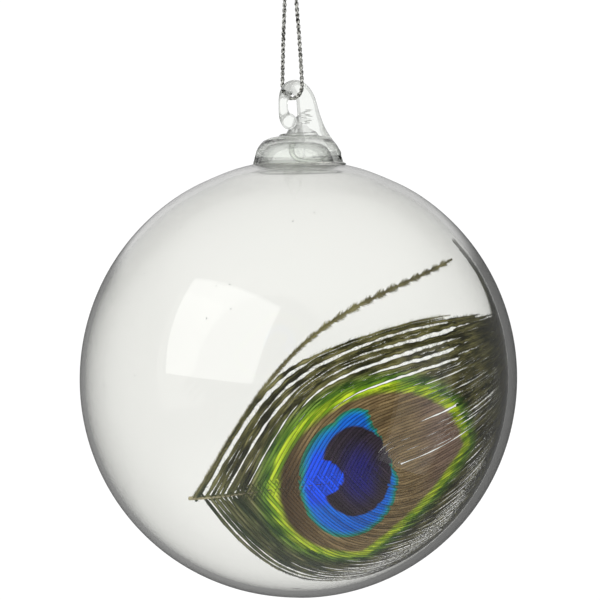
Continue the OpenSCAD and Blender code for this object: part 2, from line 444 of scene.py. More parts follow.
def tone(red, green, blue):
    """A display colour, 0 to 255, as the linear light that shaders work in."""
    linear = [((c / 255 + 0.055) / 1.055) ** 2.4 if c > 10 else c / 255 / 12.92
              for c in (red, green, blue)]
    return (*linear, 1.0)


def finish_of(name, *pieces):
    material = bpy.data.materials.new(name)
    for piece in pieces:
        piece.data.materials.clear()
        piece.data.materials.append(material)
    return Finish(material)


# %% [markdown]
# ## Silver yarn
#
# Metallic yarn is a foil strip wound on a fibre. It flashes bright where a turn of foil faces the light
# and goes dark between turns, and here both are painted into the colour. Noise about as fine as the
# turns of foil swings the colour from near black to bright silver, as painted glints and painted shade,
# and varies the roughness too. A fine bump breaks the highlights up.

# %% Silver yarn finish
FLECKS_IN_METRE = 2600.0
yarn = finish_of("silver_yarn", thread, thread_knot, thread_tails)
fleck = yarn.noise(FLECKS_IN_METRE, yarn.place(), 2.0)
# Painted glints and painted shade: the noise, not the light, makes the yarn bright silver or near black.
foil_glint = fleck.rise(0.36, 0.62)
yarn_colour = yarn.mix(foil_glint, tone(30, 30, 28), tone(206, 206, 200))
yarn.surface(yarn.node("ShaderNodeBsdfPrincipled", {}, {
    "Base Color": yarn_colour, "Metallic": 0.55, "Roughness": 0.3 + 0.25 * (1 - foil_glint),
    "Normal": yarn.bump(fleck, 0.08 * MM)}))

# %% [markdown]
# ## The blown ball
#
# A blown ball is two nearly parallel skins of glass that turn into each other at the mouth. A sphere
# with a Solidify modifier would give the skins but not the fire-rounded lip, so the section is drawn
# once, outer skin, lip and inner skin, and revolved about the axis through the mouth. Breath and
# gravity leave it a little out of round, which slow waves over the section give, and the wall is a
# little thicker at the left. A few tiny bubbles, called seeds, are caught in the wall: each is a closed
# skin that faces out of the glass, into the air of the bubble.

# %% Ball
WALL = 1.2 * MM
MOUTH_R = 7.4 * MM
inner_r = ball_r - WALL
mouth_lean = math.asin(cap_mid[0] / ball_r)
mouth_axis = np.array([math.sin(mouth_lean), 0.0, math.cos(mouth_lean)])
mouth_side = np.array([math.cos(mouth_lean), 0.0, -math.sin(mouth_lean)])
RINGS = 130
SPOKES = 240
LIP_ROUND = 0.006
OUT_OF_ROUND = 0.1
CROWN_DIP = 0.22
SEED_TRIES = 46
SEEDS_FROM = -0.1
SEEDS_TO = 0.9

outer_from = math.asin(MOUTH_R / ball_r) + LIP_ROUND
inner_from = math.asin(MOUTH_R / inner_r) + LIP_ROUND
outer_angles = np.linspace(math.pi, outer_from, RINGS)
inner_angles = np.linspace(inner_from, math.pi, RINGS)
lip_angles = [0.5 * (outer_from + inner_from) - LIP_ROUND] * 3
section_angles = np.concatenate([outer_angles, lip_angles, inner_angles])
lip_radii = [ball_r - 0.25 * WALL, ball_r - 0.5 * WALL, ball_r - 0.75 * WALL]
section_radii = np.concatenate([np.full(RINGS, ball_r), lip_radii, np.full(RINGS, inner_r)])

turn_angles = np.linspace(0, 2 * math.pi, SPOKES, endpoint=False)
polar, spin = np.meshgrid(section_angles, turn_angles, indexing="ij")
clear_of_mouth = np.clip((polar - 0.26) / 0.3, 0, 1)
slow = np.sin(2 * polar + 0.6) * np.cos(spin + 0.4) + 0.5 * np.sin(3 * polar) * np.cos(2 * spin)
crown = np.exp(-(((polar - 0.38) / 0.1) ** 2))
uneven = (OUT_OF_ROUND * slow - CROWN_DIP * crown) * clear_of_mouth
radius = section_radii[:, None] + uneven * MM
ball_dir = (np.sin(polar) * np.cos(spin))[..., None] * mouth_side
ball_dir = ball_dir + (np.sin(polar) * np.sin(spin))[..., None] * np.array([0.0, 1.0, 0.0])
ball_dir = ball_dir + np.cos(polar)[..., None] * mouth_axis
inner_skin = np.clip((ball_r - section_radii) / WALL, 0, 1)[:, None, None]
inner_shift = np.array([-0.25, 0.0, 0.0]) * MM
ball_points = ball_mid + ball_dir * radius[..., None] + inner_skin * np.sin(polar)[..., None] * inner_shift
ball_points = ball_points.reshape(-1, 3)
ball_faces = grid_faces(len(section_angles), SPOKES, wrap=True)
ball_parts = [(ball_points, ball_faces)]

seed_random = np.random.default_rng(11)


def small_bubble(mid, sizes, directions):
    """A closed skin that faces inward, into the air of the bubble."""
    rows = 7
    columns = 10
    tall, round_turn = np.meshgrid(np.linspace(0.08, math.pi - 0.08, rows),
                                   np.linspace(0, 2 * math.pi, columns, endpoint=False), indexing="ij")
    shape = np.stack([np.sin(tall) * np.cos(round_turn), np.sin(tall) * np.sin(round_turn),
                      np.cos(tall)], axis=-1)
    points = mid + (shape * sizes) @ directions
    faces = grid_faces(rows, columns, wrap=True)
    faces.append(list(range(columns)))
    faces.append([(rows - 1) * columns + k for k in range(columns)][::-1])
    return points.reshape(-1, 3), [face[::-1] for face in faces]


for _ in range(SEED_TRIES):
    outward = unit(seed_random.normal(size=3))
    if outward[2] > SEEDS_TO or outward[2] < SEEDS_FROM:
        continue
    sideways = unit(np.cross(outward, seed_random.normal(size=3)))
    size = seed_random.uniform(0.05, 0.13) * MM
    axes = np.stack([sideways, np.cross(outward, sideways), outward])
    sizes = size * np.array([seed_random.uniform(1, 2.2), 1.0, 0.8])
    ball_parts.append(small_bubble(ball_mid + outward * (ball_r - 0.5 * WALL), sizes, axes))
blown_ball = make_piece("blown_ball", *join(ball_parts), "ball_glass", ["glass_ball"], "glass")


def face_outward(piece):
    """Turns all faces round if the closed skin encloses a negative volume."""
    mesh = piece.data
    points = np.array([v.co[:] for v in mesh.vertices])
    mesh.calc_loop_triangles()
    corners = np.array([t.vertices[:] for t in mesh.loop_triangles])
    a, b, c = points[corners[:, 0]], points[corners[:, 1]], points[corners[:, 2]]
    volume = np.einsum("ij,ij->i", a, np.cross(b, c)).sum() / 6
    if volume < 0:
        mesh.flip_normals()
    print(piece.name, "volume mm3", round(abs(volume) / MM ** 3, 1))


face_outward(blown_ball)

# %% [markdown]
# ## The hanger: bell, rod, eye and bead
#
# On the real ornament this is one piece, worked in the flame: a bell of clear glass, with a rod drawn
# up out of it, curled over and pressed down again. So the solids of cap and hook are replaced by one
# skin. Its parts are laid out as closed forms, a revolved bell and rods of changing thickness, and a
# voxel remesh melts them together. A smoothing pass then rounds the joints, as the flame does.

# %% Hanger forms
lip_z = ball_mid[2] + 38.95 * MM
lip_high = (lip_z - ball_mid[2]) / MM
plug_floor = (plug_low - lip_z) / MM
OFF_BALL = 0.06
# Sections in mm: distance from the bell's axis, and height above its lip.
bell_section = [(8.5, -0.45), (8.35, 0.1), (8.0, 1.3), (7.7, 2.4), (7.35, 3.25), (6.85, 4.0),
                (6.15, 4.65), (5.1, 5.1), (3.6, 5.35), (0.0, 5.4)]
under_bell = [(out, math.sqrt((ball_r / MM + OFF_BALL) ** 2 - out ** 2) - lip_high)
              for out in (8.2, 7.9, 7.6, 7.3)]
plug_section = [(7.15, plug_floor + 0.3), (6.9, plug_floor), (0.0, plug_floor)]


def revolve(section, mid, columns=120):
    radii = np.array([p[0] for p in section]) * MM
    heights = np.array([p[1] for p in section]) * MM
    angle = np.linspace(0, 2 * math.pi, columns, endpoint=False)
    points = np.stack([radii[:, None] * np.cos(angle), radii[:, None] * np.sin(angle),
                       np.broadcast_to(heights[:, None], (len(section), columns))], axis=-1) + mid
    return points.reshape(-1, 3), grid_faces(len(section), columns, wrap=True)


bell_mid = np.array([cap_mid[0] - 0.2 * MM, 0.0, lip_z])
bell = revolve(bell_section[::-1] + under_bell + plug_section, bell_mid)


def eye_point(along, height, depth=0.0):
    return eye_mid + eye_side * along * MM + UP * height * MM + eye_axis * depth * MM


EYE_HOLE_R = 1.65
EYE_ROD_D = 2.4
hook_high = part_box("hanger_hook")[1].z
eye_mid = np.array([0.0, 0.0, hook_high - (EYE_HOLE_R + EYE_ROD_D) * MM])

# The rod as one line: distance along the eye's plane, height, and radius, from the bell to the bead.
rod_line = ((7.0, -10.0, 4.3), (6.3, -8.3, 3.8), (5.7, -6.7, 3.2), (5.1, -5.0, 2.65),
            (4.6, -3.1, 2.25), (4.15, -1.3, 2.0), (3.8, 0.3, 1.85), (3.25, 1.7, 1.65),
            (2.2, 2.75, 1.5), (0.9, 3.2, 1.42), (-0.5, 3.1, 1.3), (-1.7, 2.4, 1.1),
            (-2.4, 1.2, 0.93), (-2.6, -0.2, 0.87), (-2.45, -1.5, 0.95), (-1.9, -2.5, 1.25),
            (-1.15, -3.0, 1.47), (-0.7, -3.15, 1.4))
root_line = ((0.9, -3.9, 1.5), (1.3, -4.7, 2.3), (1.6, -5.5, 3.0), (2.0, -6.6, 3.5))
web_line = ((1.4, -3.2, 1.5), (2.6, -3.6, 2.0), (3.6, -4.2, 2.4))
rods = []
for stations in (rod_line, root_line, web_line):
    line = smooth_line([eye_point(a, h) for a, h, _ in stations], 6)
    radii = smooth_line([(r * MM, 0, 0) for _, _, r in stations], 6)[:, 0]
    rods.append(tube(line, radii, 40, eye_axis))
bead = small_bubble(eye_point(-1.1, -3.0), 1.5 * MM, np.eye(3))
rods.append((bead[0], [face[::-1] for face in bead[1]]))

# The pressed foot: the bead's glass ran out in one flat curl over the top of the bell.
CURL_R = 0.55 * MM
CURL_STARTS = 2.4
curl_turn = np.linspace(-0.4, 1.55 * math.pi, 40)
curl_angle = curl_turn + CURL_STARTS
curl = np.stack([-0.1 + 3.0 * np.cos(curl_angle), 0.4 + 2.6 * np.sin(curl_angle),
                 5.2 + 0.5 * curl_turn / 6], axis=1) * MM
rods.append(tube(curl + np.array([cap_mid[0], 0, lip_z]), CURL_R, 16))

# %% Melt the hanger together
VOXEL = 0.15 * MM
hanger = make_mesh("hanger", *join([bell] + rods))
melt = hanger.modifiers.new("melt", "REMESH")
melt.mode = "VOXEL"
melt.voxel_size = VOXEL
melt.use_smooth_shade = True
flame = hanger.modifiers.new("flame", "SMOOTH")
flame.factor = 0.5
flame.iterations = 12
melted = bpy.data.meshes.new_from_object(hanger.evaluated_get(bpy.context.evaluated_depsgraph_get()))
hanger.modifiers.clear()
hanger.data = melted
face_outward(hanger)

# %% [markdown]
# ## The hollow of the bell
#
# The bell is blown, so it is hollow, with a wall that is thinner on the left. Where the rod was stuck
# on, hot glass ran down inside the front wall and back up, and its trail shows as two dark curved
# lines. The hollow's skin faces into its own air and the trail's skin faces out of its glass, so the
# glass stays a proper solid. The leg also holds a few long thin bubbles, drawn out with the rod, and
# the pressed root is rippled.

# %% Hollow, trail and long bubbles
hollow_floor = plug_floor + 0.45
hollow_section = ((0.0, 4.2), (3.2, 4.15), (4.7, 3.8), (5.7, 3.1), (6.3, 2.2), (6.7, 1.1),
                  (6.95, 0.1), (6.6, -0.6), (6.3, -1.1), (6.2, hollow_floor + 0.3),
                  (5.9, hollow_floor), (0.0, hollow_floor))
hollow_mid = bell_mid - np.array([0.35, 0.0, 0.0]) * MM
hollow = revolve(hollow_section, hollow_mid)

# The trail as it is seen from the front: to the right, height, and radius, in mm.
TRAIL_CLEAR = 0.15
trail_seen = ((-0.3, 3.5, 0.5), (-0.7, 2.9, 0.5), (-0.65, 1.9, 0.46), (0.05, 1.05, 0.42),
              (1.3, 0.75, 0.36), (3.1, 0.6, 0.3), (4.6, 0.75, 0.27), (5.2, 1.4, 0.25),
              (5.15, 2.2, 0.22), (4.6, 2.9, 0.2))
trail = smooth_line(trail_seen, 8)
hollow_wall = np.array(hollow_section[1:7])
trail_reach = np.interp(-trail[:, 1], -hollow_wall[:, 1], hollow_wall[:, 0])
trail_reach -= trail[:, 2] + TRAIL_CLEAR
trail_depth = -np.sqrt(np.maximum(trail_reach ** 2 - trail[:, 0] ** 2, 0.1))
trail_line = hollow_mid + np.stack([trail[:, 0], trail_depth, trail[:, 1]], axis=1) * MM
glass_trail = tube(trail_line, trail[:, 2] * MM, 20, (0, 1, 0))

RIPPLE_AT = eye_point(2.0, -4.6)
RIPPLE_REACH = 2.0 * MM
RIPPLE_DEPTH = 0.07 * MM
LONG_BUBBLES = 10
LONG_BUBBLE = np.array([1.05, 0.09, 0.09]) * MM
mesh = hanger.data
hanger_points = np.array([v.co[:] for v in mesh.vertices])
hanger_out = np.array([v.normal[:] for v in mesh.vertices])
hanger_faces = [list(p.vertices) for p in mesh.polygons]
bpy.data.objects.remove(hanger)
close_by = np.exp(-(np.linalg.norm(hanger_points - RIPPLE_AT, axis=1) / RIPPLE_REACH) ** 2)
wavy = np.sin(hanger_points[:, 2] / (0.12 * MM) + 2.5 * np.sin(hanger_points[:, 0] / (0.55 * MM)))
hanger_points += hanger_out * (RIPPLE_DEPTH * close_by * wavy)[:, None]

hanger_parts = [(hanger_points, hanger_faces), hollow, glass_trail]
for k in range(LONG_BUBBLES):
    middle = eye_point(3.5 + 0.25 * math.sin(k * 2.1), -0.9 - 0.27 * k, 0.6 * math.cos(k * 1.7))
    slant = unit(eye_side + UP * 0.12 * math.sin(k * 1.3))
    axes = np.stack([slant, np.cross(slant, eye_axis), eye_axis])
    hanger_parts.append(small_bubble(middle, LONG_BUBBLE, axes))
flame_worked_hanger = make_piece("flame_worked_hanger", *join(hanger_parts), "hanger_glass",
                                 ["hanger_cap", "hanger_hook"], "glass")
face_outward(flame_worked_hanger)

# %% [markdown]
# ## The adhesive
#
# Clear glue fills the hairline between ball and bell, and a little of it is squeezed out round the lip
# as a rounded fillet. The fillet is a revolved bead that follows the ball's curve.

# %% Adhesive fillet
FILLET_OUT = 8.45
FILLET_WIDE = 0.32
FILLET_TALL = 0.16
fillet_turn = np.linspace(0, 2 * math.pi, 20, endpoint=False)
fillet_r = FILLET_OUT + FILLET_WIDE * np.cos(fillet_turn)
ball_top = np.sqrt((ball_r / MM) ** 2 - fillet_r ** 2) - lip_high
fillet_z = ball_top + 0.02 + FILLET_TALL * np.sin(fillet_turn)
fillet_section = list(zip(fillet_r, fillet_z)) + [(fillet_r[0], fillet_z[0])]
fillet_points, fillet_faces = revolve(fillet_section, bell_mid, 160)
glue_fillet = make_piece("glue_fillet", fillet_points, fillet_faces, "clear_adhesive",
                         ["cap_adhesive"], "glass")
face_outward(glue_fillet)

# %% [markdown]
# ## Clear glass
#
# Glass is a transmitting Principled shader. Light that only passes by, such as a shadow ray or light
# scattered from the feather, goes straight through the wall: refracting those rays would take far
# more samples and look the same. Faint green and slight smears keep it from looking like nothing at
# all. The hanger is thick and full of bends, so part of the light goes straight through it where its
# skin faces the viewer; with every ray refracted it would come out too dark.

# %% Glass finishes


def clear_glass(name, piece, pale, deep, index, smear, straight=0.0):
    glass = finish_of(name, piece)
    cloud = glass.noise(45.0, glass.place(), 2.0)
    body = glass.node("ShaderNodeBsdfPrincipled", {}, {
        "Base Color": glass.mix(cloud, pale, deep), "Roughness": cloud.rise(0.45, 0.8) * smear,
        "IOR": index, "Transmission Weight": 1.0})
    ray = glass.node("ShaderNodeLightPath")
    facing = glass.node("ShaderNodeLayerWeight", {}, {"Blend": 0.5}, "Facing")
    passing = ray.out("Is Shadow Ray").most(ray.out("Is Diffuse Ray"))
    passing = passing.most(straight * facing.rise(0.8, 0.4))
    open_way = glass.node("ShaderNodeBsdfTransparent", {}, {"Color": (0.95, 0.96, 0.94, 1.0)})
    glass.surface(glass.node("ShaderNodeMixShader", {}, {0: passing, 1: body, 2: open_way}))


clear_glass("blown_glass", blown_ball, (0.985, 0.985, 0.965, 1), (0.975, 0.98, 0.955, 1),
            index=1.5, smear=0.004)
clear_glass("hanger_clear_glass", flame_worked_hanger, (0.985, 0.99, 0.97, 1), (0.95, 0.97, 0.96, 1),
            index=1.42, smear=0.02, straight=0.58)
clear_glass("set_glue", glue_fillet, (0.985, 0.985, 0.97, 1), (0.97, 0.97, 0.94, 1),
            index=1.46, smear=0.06)

# %% [markdown]
# ## A chart of the feather
#
# The feather is flat, but it lies on the inside of the ball. So it is drawn on a flat chart first, in
# units of nearly a millimetre from the middle of the eye: `s` runs along the shaft, `t` across it. Then
# every point is carried onto the sphere the way a paper disc is smoothed onto a globe, keeping its
# distance and direction from the middle. The flat place of each point is kept on the mesh as an
# attribute, so the pattern can be painted on the chart too.

# %% The chart
VANE_R = inner_r - 0.55 * MM
CHART_UNIT = 0.95 * MM
EYE_AZIMUTH = math.radians(15)
EYE_HEIGHT = math.radians(-25.2)
SHAFT_LEAN = math.radians(12)
# The closed part of the eye is an ellipse on the chart: its middle and its two half widths.
EYE_S = 5.0
EYE_T = -4.0
EYE_HALF_S = 21.0
EYE_HALF_T = 18.5
eye_out = np.array([math.sin(EYE_AZIMUTH) * math.cos(EYE_HEIGHT),
                    -math.cos(EYE_AZIMUTH) * math.cos(EYE_HEIGHT), math.sin(EYE_HEIGHT)])
level = np.array([math.cos(EYE_AZIMUTH), math.sin(EYE_AZIMUTH), 0.0])
over = np.cross(eye_out, level)
along_shaft = math.cos(SHAFT_LEAN) * level + math.sin(SHAFT_LEAN) * over
across_shaft = math.cos(SHAFT_LEAN) * over - math.sin(SHAFT_LEAN) * level


def on_ball(chart, lift):
    """Chart points, and how far each stands out from the vane's sphere in mm, as places."""
    far = np.maximum(np.linalg.norm(chart, axis=-1, keepdims=True), 1e-6)
    lean = far * CHART_UNIT / VANE_R
    flat = (chart[..., :1] * along_shaft + chart[..., 1:2] * across_shaft) / far
    return ball_mid + (VANE_R + lift[..., None] * MM) * (np.cos(lean) * eye_out + np.sin(lean) * flat)


def shaft_t(s):
    return -0.9 - 4.3 * (np.maximum(-12 - s, 0) / 20) ** 1.5


def from_eye(s, t):
    """Square of the distance from the eye's middle, 1 at the edge of its closed part."""
    return ((s - EYE_S) / EYE_HALF_S) ** 2 + ((t - EYE_T) / EYE_HALF_T) ** 2


def barb_t(s, root, outer, turn_back, swing=0.58, sharp=2.0):
    """A barb leaves the shaft at root, swings out to outer, and turns back past the eye."""
    start = shaft_t(root)
    reach = outer - start
    back = turn_back * np.minimum((np.maximum(s, 0) / 45) ** sharp, 1.3)
    return (start + reach * np.tanh((s - root) / (swing * abs(reach)))) * (1 - back)


# %% [markdown]
# ## The barbs
#
# A feather's vane is not a sheet. Each barb leaves the shaft on its own, and small barbules along both
# its sides hook into the next barb. In the eye they are packed into a smooth surface; further out they
# come apart, and light shows between them. So every barb is made: a narrow roof-shaped ribbon, with
# its barbules as slender blades that stand forward from it.

# %% One barb
barb_random = np.random.default_rng(29)
BLADE_EVERY = 0.3
BLADE_FOOT = 0.24
BLADE_LIFT = 0.12


def draw_barb(store, family, s, t, half, blade, tuft=0.0, lift=0.0, every=BLADE_EVERY, ragged=0.0):
    """Adds one barb: its line s, t on the chart, half its ribbon's width, its blades' length.

    tuft: distance between tufts of longer blades. lift: how far the barb stands out from the
    sphere. every: distance between blades. ragged: how uneven the ribbon is.
    """
    number = barb_random.uniform()
    line = np.stack([s, t], axis=1)
    heading = unit(np.gradient(line, axis=0))
    side = np.stack([-heading[:, 1], heading[:, 0]], axis=1)
    n = len(s)
    end_thin = np.clip((n - 1 - np.arange(n)) / 12, 0.12, 1) * np.clip((1 + np.arange(n)) / 3, 0.7, 1)
    clump = 1 + ragged * np.sin(s * 1.9 + number * 40) * np.sin(s * 0.73 + number * 17)
    width = half * end_thin * clump
    rise = lift + 0.03 * np.sin(s * 0.5 + number * 9)
    half_side = side * width[:, None]
    chart = np.stack([line - half_side, line, line + half_side], axis=1)
    height = np.stack([rise - 0.12, rise + 0.01, rise + 0.06], axis=1)
    edge = np.tile([1.0, 0.0, 1.0], n)
    store.add(family, chart.reshape(-1, 2), height.reshape(-1), grid_faces(n, 3), number, edge)

    along = arc(line)
    count = int(along[-1] / every)
    at = (np.arange(count) + barb_random.uniform(size=count)) * every
    base = values_at(at, along, line)
    head = values_at(at, along, heading)
    off = np.stack([-head[:, 1], head[:, 0]], axis=1)
    size = np.interp(at, along, blade * np.clip((n - 1 - np.arange(n)) / 8, 0.35, 1))
    if tuft:
        base_s = base[:, 0]
        in_tufts = 0.25 + 0.75 * np.abs(np.sin(at * math.pi / tuft)) ** 0.7
        size *= np.interp(base_s, [-10, 6], [0.62, 0]) + np.interp(base_s, [-10, 6], [0, 1]) * in_tufts
    for way in (-1, 1):
        angle = np.radians(barb_random.uniform(22, 44, size=count))
        reach = size * barb_random.uniform(0.7, 1.2, size=count)
        tip = base + (head * np.cos(angle)[:, None] + off * way * np.sin(angle)[:, None]) * reach[:, None]
        foot = base + head * BLADE_FOOT
        tip_lift = lift + barb_random.uniform(-BLADE_LIFT, BLADE_LIFT, size=count)
        chart = np.stack([base, foot, tip], axis=1).reshape(-1, 2)
        height = np.stack([np.zeros(count), np.zeros(count), tip_lift], axis=1).reshape(-1)
        edge = np.tile([0.15, 0.15, 0.55], count)
        store.add(family, chart, height, np.arange(count * 3).reshape(-1, 3).tolist(), number, edge)


class FeatherStore:
    """Collects the faces of the barbs, to be shared out to pieces when all are drawn."""

    def __init__(self):
        self.charts = []
        self.lifts = []
        self.faces = []
        self.families = []
        self.numbers = []
        self.count = 0

    def add(self, family, chart, lift, faces, number, edge):
        self.charts.append(chart)
        self.lifts.append(lift)
        self.faces += [[v + self.count for v in face] for face in faces]
        self.families += [family] * len(faces)
        self.numbers.append(np.stack([np.full(len(chart), number), edge], axis=1))
        self.count += len(chart)


# %% [markdown]
# ## Rows of barbs
#
# All barbs of a row follow the same rule, so the row is laid out as one table first: how far across
# each barb has got at each distance along the shaft. The table also gives the room that each barb has
# to its neighbours, and the ribbons are made a little wider than that in the eye, so that they lap
# like tiles, and narrower outside it. A slit is opened between two barbs by pushing the whole table
# apart there, over part of its length. The outermost upper barbs end early, and some flare upward
# near their tips. Beyond the eye a second layer of barbs lies inside the first.

# %% Draw both rows of barbs
STEP = 0.5
UNDER_FROM = 27.0
UNDER_LIFT = -0.35
FLARE_FROM = 42.0
FLARED = range(8, 34)
EARLY_ENDS = (29, 27, 39, 33, 46, 41, 50, 44)
FIRST_ROOTS = -21.0
SLIT_WAVE = 0.16
LOOSE_WAVE = 0.16
FLARE = 0.13
table_s = np.arange(-31.0, 67.0, STEP)


def open_slits(table, slits):
    """Each slit: the barb it opens beside, where it starts and ends, and half its width in mm."""
    number = np.arange(len(table))[:, None]
    for barb, first, last, push in slits:
        opening = np.clip((table_s - first) / (last - first), 0, 1)
        amount = push * np.sin(math.pi * opening) ** 0.6 * (1 + SLIT_WAVE * np.sin(table_s * 2.3 + barb))
        beside = number + 0.5 - barb
        table += amount * -np.sign(beside) * np.exp(-np.abs(beside) / 2.2) * side_of_row


upper_slits = ((1, -30, -4, 0.6), (3, -18, 31, 0.4), (5, -30, -8, 0.5), (6, 4, 46, 0.6),
               (9, -26, -6, 0.45), (10, -12, 33, 0.5), (13, 6, 43, 0.55), (17, -4, 33, 0.45),
               (34, 14, 40, 0.55))
lower_slits = ((3, -18, 6, 0.2), (12, 14, 28, 0.3))
rows = {"upper": dict(count=46, roots=(-30, 9), outers=(25.7, -0.4), turn_back=0.31, sharp=2.0,
                      fullness=0.64, ragged=0.28, slits=upper_slits),
        "lower": dict(count=54, roots=(-28.5, 9), outers=(-34, -1.3), turn_back=0.55, sharp=2.6,
                      fullness=0.84, ragged=0.12, slits=lower_slits)}
store = FeatherStore()
for row, plan in rows.items():
    count = plan["count"]
    side_of_row = 1 if row == "upper" else -1
    share = np.arange(count) / (count - 1)
    roots = plan["roots"][0] + (plan["roots"][1] - plan["roots"][0]) * share ** 0.85
    outers = plan["outers"][0] + (plan["outers"][1] - plan["outers"][0]) * share
    table = np.array([barb_t(table_s, root, outer, plan["turn_back"], sharp=plan["sharp"])
                      for root, outer in zip(roots, outers)])
    open_slits(table, plan["slits"])
    slope = np.gradient(table, STEP, axis=1)
    room = np.abs(np.gradient(table, axis=0)) / np.sqrt(1 + slope ** 2)
    for i in range(count):
        end = barb_random.uniform(46, 63)
        if row == "upper" and i < len(EARLY_ENDS):
            end = EARLY_ENDS[i]
        flare = 0.0
        if row == "upper" and i in FLARED:
            end = barb_random.uniform(48, 58)
            flare = FLARE * (1 - (i - FLARED[0]) / 30) * barb_random.uniform(0.7, 1.1)
        lap = 0.5 if roots[i] < FIRST_ROOTS else 1.3
        here = (table_s >= roots[i] - lap) & (table_s < end)
        s = table_s[here]
        eye_far = np.sqrt(from_eye(s, table[i][here]))
        loose = np.clip((eye_far - 0.95) / 0.45, 0, 1)
        wave = barb_random.uniform(0, 6.28)
        ripple = loose * LOOSE_WAVE * np.sin(s * 0.21 + wave) + 0.04 * np.sin(s * 0.9 + wave)
        tips = np.clip((s - 24) / 12, 0, 1)
        half = np.clip(room[i][here], 0.35, 0.9) * (plan["fullness"] - 0.24 * loose + 0.2 * tips * loose)
        half *= 1 + 16 * flare * np.clip((s - FLARE_FROM) / 8, 0, 1)
        blade = 0.45 + 0.65 * loose
        line_t = table[i][here] + ripple + flare * np.maximum(s - FLARE_FROM, 0) ** 2
        draw_barb(store, row, s, line_t, half, blade, lift=0.02 * math.sin(i * 2.4),
                  ragged=plan["ragged"] * loose)
        behind = s > UNDER_FROM + barb_random.uniform(-6, 12)
        under_t = (line_t + 0.5 * room[i][here])[behind]
        if len(under_t) > 20:
            draw_barb(store, row, s[behind], under_t, half[behind] * 0.9, blade[behind],
                      lift=UNDER_LIFT)
s = np.arange(-31, 38.5, STEP)
stray_t = barb_t(s, -31, 33.3, 0.03, swing=0.62)
for stray_lift in (0.0, -0.1):
    draw_barb(store, "stray", s, stray_t, np.full(len(s), 0.16), 1.6 + 0.1 * np.sin(s * 0.2), tuft=3.4,
              lift=stray_lift, every=0.11)

# %% [markdown]
# ## Sharing the barbs out
#
# One barb runs through several of the model's solids: it starts beside the shaft, crosses the eye and
# ends among the tips. Each face goes to the piece whose solid it lies in.

# %% Pieces of the feather
BODY_END = 30.0
chart = np.concatenate(store.charts)
lift = np.concatenate(store.lifts)
numbers = np.concatenate(store.numbers)
places = on_ball(chart, lift)
families = np.array(store.families)
face_mid = np.array([chart[face].mean(axis=0) for face in store.faces])
in_eye = from_eye(face_mid[:, 0], face_mid[:, 1]) < 1
in_tips = face_mid[:, 0] > BODY_END
owner = np.where(families == "stray", "stray_barb",
                 np.where(in_tips, "tip_barbs",
                          np.where(families == "upper", np.where(in_eye, "eye_upper_vane", "upper_barbs"),
                                   np.where(in_eye, "eye_lower_vane", "lower_barbs"))))


def feather_piece(name, node, slot="feather_barbs"):
    picked = [face for face, its in zip(store.faces, owner) if its == node]
    used = np.unique(np.array([v for face in picked for v in face]))
    new = np.full(len(places), -1)
    new[used] = np.arange(len(used))
    faces = [[int(new[v]) for v in face] for face in picked]
    piece = make_piece(name, places[used], faces, slot, [node], "feather")
    values = np.concatenate([chart[used], numbers[used]], axis=1).astype(np.float32)
    spot = piece.data.attributes.new("chart", "FLOAT_COLOR", "POINT")
    spot.data.foreach_set("color", values.reshape(-1))
    return piece


eye_pieces = [feather_piece("eye_barbs_upper", "eye_upper_vane", "feather_eye"),
              feather_piece("eye_barbs_lower", "eye_lower_vane", "feather_eye")]
loose_pieces = [feather_piece("loose_barbs_upper", "upper_barbs"),
                feather_piece("loose_barbs_lower", "lower_barbs"),
                feather_piece("barb_tips", "tip_barbs"),
                feather_piece("one_stray_barb", "stray_barb")]

# %% [markdown]
# ## The shaft
#
# The shaft, or rachis, is a horny rod that tapers away under the eye. It is a tube along the chart's
# shaft line, just inside the vane, and cut square at its thick end.

# %% Shaft
SHAFT_RINGS = 90
shaft_s = np.linspace(-32, 8, SHAFT_RINGS)
shaft_chart = np.stack([shaft_s, shaft_t(shaft_s)], axis=1)
shaft_r = np.linspace(0.34, 0.1, SHAFT_RINGS)
shaft_line = on_ball(shaft_chart, -(0.05 + shaft_r * 0.6))
feather_shaft = make_piece("shaft", *tube(shaft_line, shaft_r * MM, 12, eye_out), "feather_shaft",
                           ["feather_shaft"], "feather")

# %% [markdown]
# ## The colours of the eye
#
# A peacock's colours come from fine layers in the barbules, so each barb changes colour where it
# crosses the next zone of the eye. The zones are drawn on the chart as distances: below zero is inside.
# Each ellipse is given by its middle and its two half widths, and is cut by a straight edge or by a
# circle where the real outline is. Every barb crosses a zone's edge at a slightly different place,
# which gives the edges their fine teeth.

# %% Feather finish


def ellipse(s, t, mid_s, mid_t, half_s, half_t):
    far = ((((s - mid_s) / half_s) ** 2) + (((t - mid_t) / half_t) ** 2)).root()
    return (far - 1) * half_s


